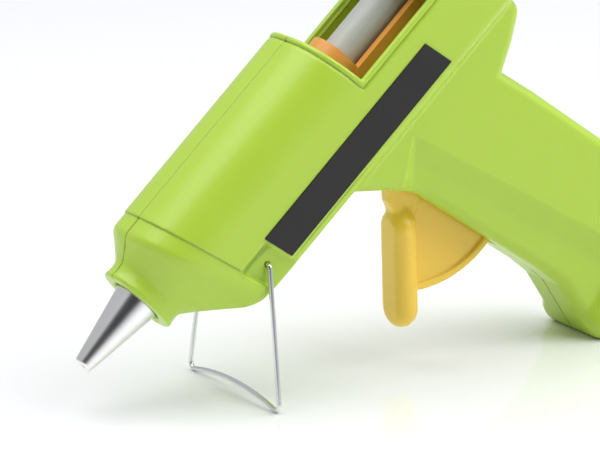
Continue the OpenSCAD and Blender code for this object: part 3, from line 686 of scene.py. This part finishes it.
trigger_mesh = mesh_from_field(
    "trigger_lever", trigger_field, (46, -7.9, -84.5), (104, 7.9, -10), TRIGGER_PITCH
)
place(trigger_mesh, "trigger_lever", "trigger", "trigger", "trigger")


# ---------------------------------------------------------------- turned and swept pieces
def lathe(name, profile, sides=96):
    """Solid of revolution round the barrel's axis, from a closed [along, radius] profile in mm."""
    rings = np.array(profile, float)
    angles = np.arange(sides) * 2 * math.pi / sides
    verts, faces = [], []
    for u, r in rings:
        verts += [(u / 1000, r * math.cos(a) / 1000, r * math.sin(a) / 1000) for a in angles]
    n = len(rings)
    for i in range(n):
        for k in range(sides):
            a, b = i * sides + k, i * sides + (k + 1) % sides
            c, d = ((i + 1) % n) * sides + (k + 1) % sides, ((i + 1) % n) * sides + k
            faces.append((a, d, c, b))
    mesh = bpy.data.meshes.new(name)
    mesh.from_pydata(verts, [], faces)
    mesh.transform(GUN)
    fix_normals(mesh)
    return mesh


def fix_normals(mesh, angle=35):
    bm = bmesh.new()
    bm.from_mesh(mesh)
    bmesh.ops.recalc_face_normals(bm, faces=bm.faces)
    for f in bm.faces:
        f.smooth = True
    for e in bm.edges:
        if len(e.link_faces) == 2 and e.calc_face_angle(0) > math.radians(angle):
            e.smooth = False
    bm.to_mesh(mesh)
    bm.free()


def rounded(points, r, steps=5):
    """A closed profile with its corners rounded; r is one radius or one a corner."""
    out = []
    n = len(points)
    for i, p in enumerate(points):
        p = np.array(p, float)
        a, b = np.array(points[i - 1], float), np.array(points[(i + 1) % n], float)
        rad = r[i] if isinstance(r, (list, tuple)) else r
        da, db = a - p, b - p
        la, lb = np.linalg.norm(da), np.linalg.norm(db)
        cut = min(rad, la * 0.45, lb * 0.45)
        if cut < 1e-4:
            out.append(tuple(p))
            continue
        s, e = p + da / la * cut, p + db / lb * cut
        for k in range(steps + 1):
            t = k / steps
            out.append(tuple((1 - t) ** 2 * s + 2 * t * (1 - t) * p + t * t * e))
    return out


nozzle_profile = rounded(
    [
        (-24.5, 1.0), (-24.5, 2.8), (0.0, 7.0), (8, 7.0), (8, 5),
        (18, 5), (18, 2.5), (-19.5, 2.5), (-21, 1.0),
    ],
    [0.25, 0.9, 0.3, 0.3, 0.2, 0.4, 0.2, 0.3, 0.3],
)
place(lathe("nozzle_cone", nozzle_profile), "nozzle_cone", "housing", "nozzle", "nozzle")
stick_profile = rounded([(66, 0.05), (66, 5.6), (146, 5.6), (146, 0.05)], [0.01, 0.7, 0.7, 0.01])
place(lathe("glue_rod", stick_profile), "glue_rod", "stick", "glue", "glue_stick")


def sweep(name, path, radius, sides=20):
    """Round wire along a path of points in mm, with domed ends."""
    path = [Vector(p) for p in path]
    n = len(path)
    heads = [(path[min(i + 1, n - 1)] - path[max(i - 1, 0)]).normalized() for i in range(n)]
    side = heads[0].orthogonal().normalized()
    verts, faces = [], []
    rings = []
    for i, (p, t) in enumerate(zip(path, heads)):
        side = (side - t * side.dot(t)).normalized()
        other = t.cross(side)
        ends = [(0, 1.0)]
        if i == 0:
            ends = [(-0.9, 0.35), (-0.6, 0.8), (0, 1.0)]
        if i == n - 1:
            ends = [(0, 1.0), (0.6, 0.8), (0.9, 0.35)]
        for shift, scale in ends:
            ring = []
            for k in range(sides):
                a = 2 * math.pi * k / sides
                spot = p + t * (shift * radius * 0.5)
                spot = spot + (side * math.cos(a) + other * math.sin(a)) * radius * scale
                ring.append(len(verts))
                verts.append(spot / 1000)
            rings.append(ring)
    for one, two in zip(rings, rings[1:]):
        for k in range(sides):
            m = (k + 1) % sides
            faces.append((one[k], one[m], two[m], two[k]))
    faces.append(tuple(reversed(rings[0])))
    faces.append(tuple(rings[-1]))
    mesh = bpy.data.meshes.new(name)
    mesh.from_pydata(verts, [], faces)
    mesh.transform(GUN)
    fix_normals(mesh, 60)
    return mesh


def stand_path():
    slope, splay, foot, bend = math.radians(12), math.radians(10), 2.0, 1.2
    drop, half, angle = 42.4, 24.0, math.radians(45.2)
    reach = half - foot * math.sin(slope)
    big = reach / math.sin(slope)
    middle = drop - foot * (1 - math.cos(slope)) - big * (1 - math.cos(slope))
    foot_y, foot_s = half + foot * math.cos(splay), drop - foot - foot * math.sin(splay)
    top_s = bend * (1 - math.sin(splay))
    outer = foot_y - (foot_s - top_s) * math.tan(splay) - bend * math.cos(splay)
    flat = []
    for i in range(13):
        a = slope * i / 12
        flat.append((big * math.sin(a), middle + big * (1 - math.cos(a))))
    for i in range(1, 17):
        a = slope - (slope + math.pi / 2 + splay) * i / 16
        flat.append((half - foot * math.sin(a), drop - foot + foot * math.cos(a)))
    start, stop = flat[-1], (outer + bend * math.cos(splay), top_s)
    flat += [tuple(np.array(start) * (1 - t) + np.array(stop) * t) for t in (0.25, 0.5, 0.75)]
    for i in range(11):
        a = -(math.pi / 2 + splay) - (math.pi / 2 - splay) * i / 10
        flat.append((outer - bend * math.sin(a), bend + bend * math.cos(a)))
    flat.append((12.8, 0))
    path = [(-x, s) for x, s in flat[:0:-1]] + flat
    return [
        (PIVOT[0] - s * math.cos(angle), x, PIVOT[1] - s * math.sin(angle)) for x, s in path
    ]


place(sweep("wire_bail", stand_path(), WIRE), "wire_bail", "stand", "wire", "wire_stand")

spring_steps, spring_turns = 24, 8
spring_front, spring_back = 119.0, 142 - 1.5 - 0.35 - 0.3
coil = []
for i in range(spring_turns * spring_steps + 1):
    a = 2 * math.pi * i / spring_steps
    u = spring_front + (spring_back - spring_front) * i / (spring_turns * spring_steps)
    coil.append((u, 2.6 * math.cos(a), SPRING_HEIGHT + 2.6 * math.sin(a)))
spring_mesh = sweep("spring_coil", coil, 0.35, 10)
spring_mesh.materials.append(MATERIALS["spring_steel"])
spring = bpy.data.objects.new("spring_coil", spring_mesh)
bpy.context.scene.collection.objects.link(spring)
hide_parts("return_spring")
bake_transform(spring)


# ---------------------------------------------------------------- labels
def label_mesh(name, side):
    top, height, start, length, lean = -7.9, 11.0, 36.0, 75.0, 11.0 * 0.24 * 0.85
    outline = rounded(
        [
            (start, top),
            (start + length, top),
            (start + length + lean, top - height),
            (start + lean, top - height),
        ],
        0.35,
        4,
    )
    low, high, edge = 19.75, 20.15, 0.12
    centre = np.mean(outline, axis=0)
    layers = [(low, 0), (high - edge, 0), (high, edge)]
    verts, faces = [], []
    n = len(outline)
    for y, inset in layers:
        for p in outline:
            d = np.array(p) - centre
            q = np.array(p) - np.sign(d) * inset
            verts.append((q[0] / 1000, side * y / 1000, q[1] / 1000))
    for layer in range(2):
        for k in range(n):
            a, b = layer * n + k, layer * n + (k + 1) % n
            faces.append((a, b, b + n, a + n))
    faces.append(tuple(range(n)))
    faces.append(tuple(range(2 * n, 3 * n)))
    mesh = bpy.data.meshes.new(name)
    mesh.from_pydata(verts, [], faces)
    mesh.transform(GUN)
    fix_normals(mesh, 30)
    return mesh


place(label_mesh("left_plate", -1), "left_plate", "housing", "label", "left_label")
place(label_mesh("right_plate", 1), "right_plate", "housing", "label", "right_label")


# ---------------------------------------------------------------- carried-over CAD nodes
replaced = {
    "left_housing", "right_housing", "nozzle", "glue_stick", "trigger", "wire_stand",
    "return_spring", "left_label", "right_label",
}
FINE_EDGE = 0.00012
EDGES = {
    "carriage": 0.0004,
    "stick_collar": 0.0004,
    "cord_bush": 0.0005,
    "melting_chamber": 0.0005,
    "terminal_block": 0.0005,
}
slots = {s["node"]: s["material_slot"] for s in record["subparts"]}
for name, node in frame["nodes"].items():
    if name in replaced:
        continue
    node.data.materials.clear()
    node.data.materials.append(MATERIALS[slots[name]])
    if name in ("live_lead", "neutral_lead"):
        continue
    edge = node.modifiers.new("edges", "BEVEL")
    edge.width = EDGES.get(name, FINE_EDGE)
    edge.segments = 2
    edge.limit_method = "ANGLE"
    edge.angle_limit = math.radians(40)
    edge.harden_normals = True

# ---------------------------------------------------------------- floor
floor_mesh = bpy.data.meshes.new("floor")
s = 4.0
floor_mesh.from_pydata([(-s, -s, 0), (s, -s, 0), (s, s, 0), (-s, s, 0)], [], [(0, 1, 2, 3)])
n = Nodes("pale_floor")
cloud = n.noise(5, 3)
floor_mesh.materials.append(
    n.set(
        Base_Color=n.blend(cloud, (0.90, 0.905, 0.935), (0.93, 0.935, 0.955)),
        Roughness=n.span(cloud, 0.06, 0.10),
    )
)
floor = bpy.data.objects.new("floor", floor_mesh)
bpy.context.scene.collection.objects.link(floor)
